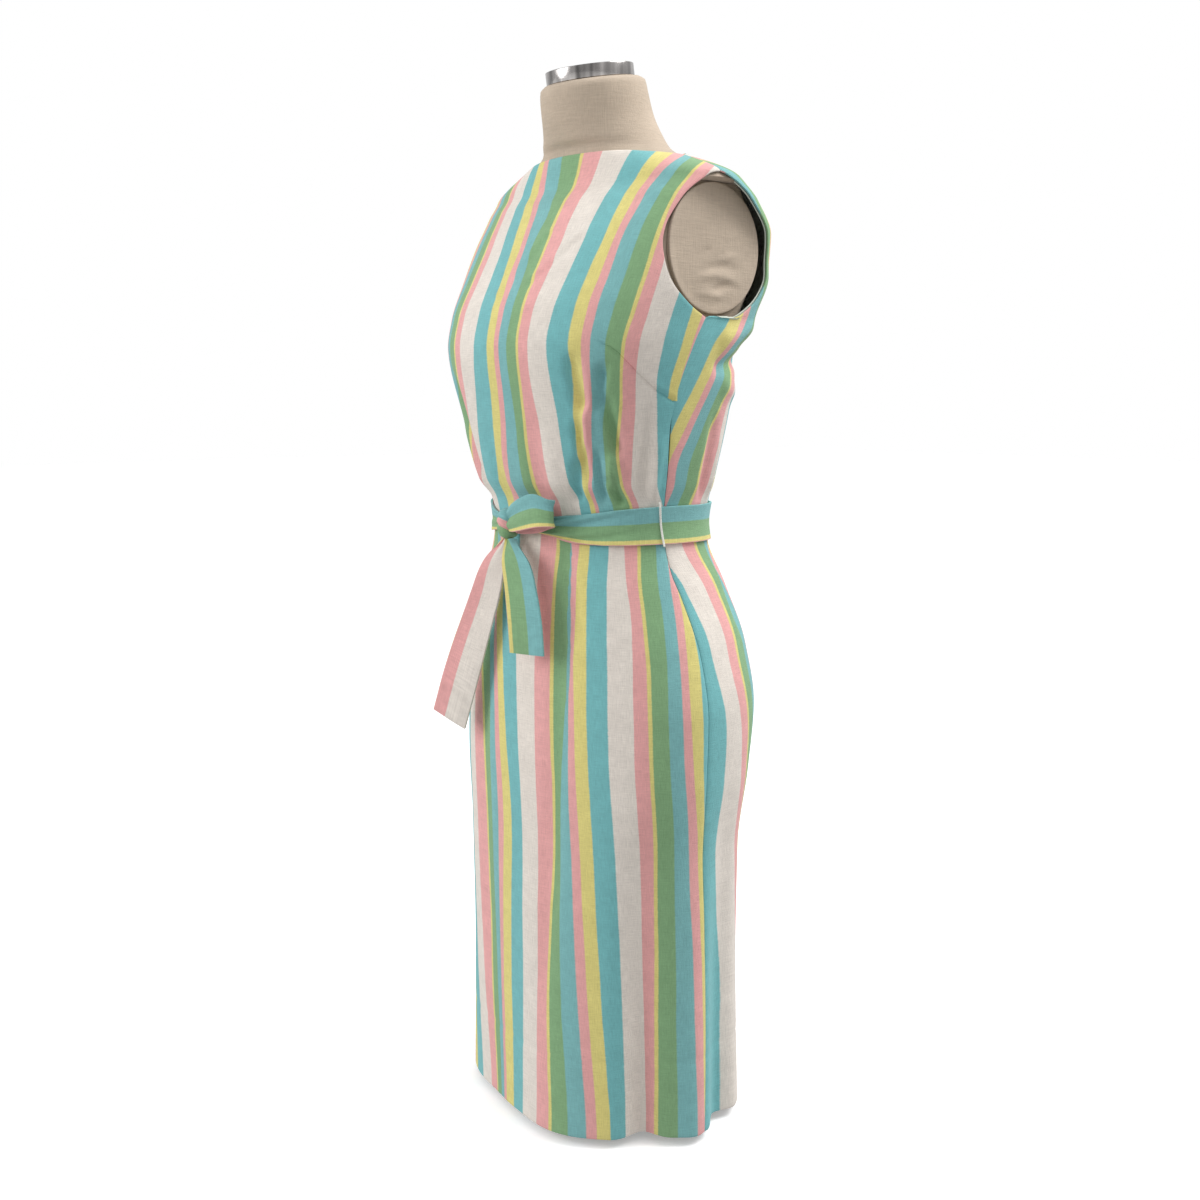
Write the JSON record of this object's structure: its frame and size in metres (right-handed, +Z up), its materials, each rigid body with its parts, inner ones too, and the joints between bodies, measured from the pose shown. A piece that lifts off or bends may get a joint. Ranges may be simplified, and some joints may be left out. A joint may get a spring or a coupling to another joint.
{
  "type": "sundress on a dress form",
  "caption": "Sleeveless knee-length striped sheath sundress with a wide boat neck and a sash tied at the waist, worn by a limbless dress form on a short stand.",
  "frame": {"origin": "on the floor, at the centre of the underside of the stand's base, under the middle of the form", "axes": "-Y is the front of the dress, +X the wearer's left, +Z up from the floor to the neck"},
  "size_m": [0.3316, 0.27, 1.0372],
  "materials": {
    "cloth_bodice": "matt slubbed linen-cotton, striped across the bodice",
    "cloth_skirt": "matt slubbed linen-cotton, upright stripes",
    "cloth_belt": "matt slubbed linen-cotton, stripes along the sash",
    "cloth_pink": "matt slubbed linen-cotton, pink and pale stripe",
    "facing_white": "pale plain-woven facing and thread",
    "linen": "natural linen cover, stretched over the form",
    "chrome": "polished plate",
    "painted_iron": "satin black enamel"
  },
  "bodies": {
    "root": {"bodice_front": "cloth_bodice", "bodice_back_left": "cloth_bodice", "bodice_back_right": "cloth_bodice", "skirt_front": "cloth_skirt", "skirt_back_left": "cloth_skirt", "skirt_back_right": "cloth_skirt", "armhole_facing_left": "facing_white", "armhole_facing_right": "facing_white", "belt_band": "cloth_belt", "belt_knot": "cloth_belt", "belt_loop": "cloth_belt", "belt_end_short": "cloth_belt", "belt_end_long": "cloth_pink", "belt_carrier_left": "facing_white", "belt_carrier_right": "facing_white", "form_torso": "linen", "form_arm_plate_left": "linen", "form_arm_plate_right": "linen", "form_neck_cap": "chrome", "form_pole": "chrome", "form_base": "painted_iron"}
  },
  "joints": []
}
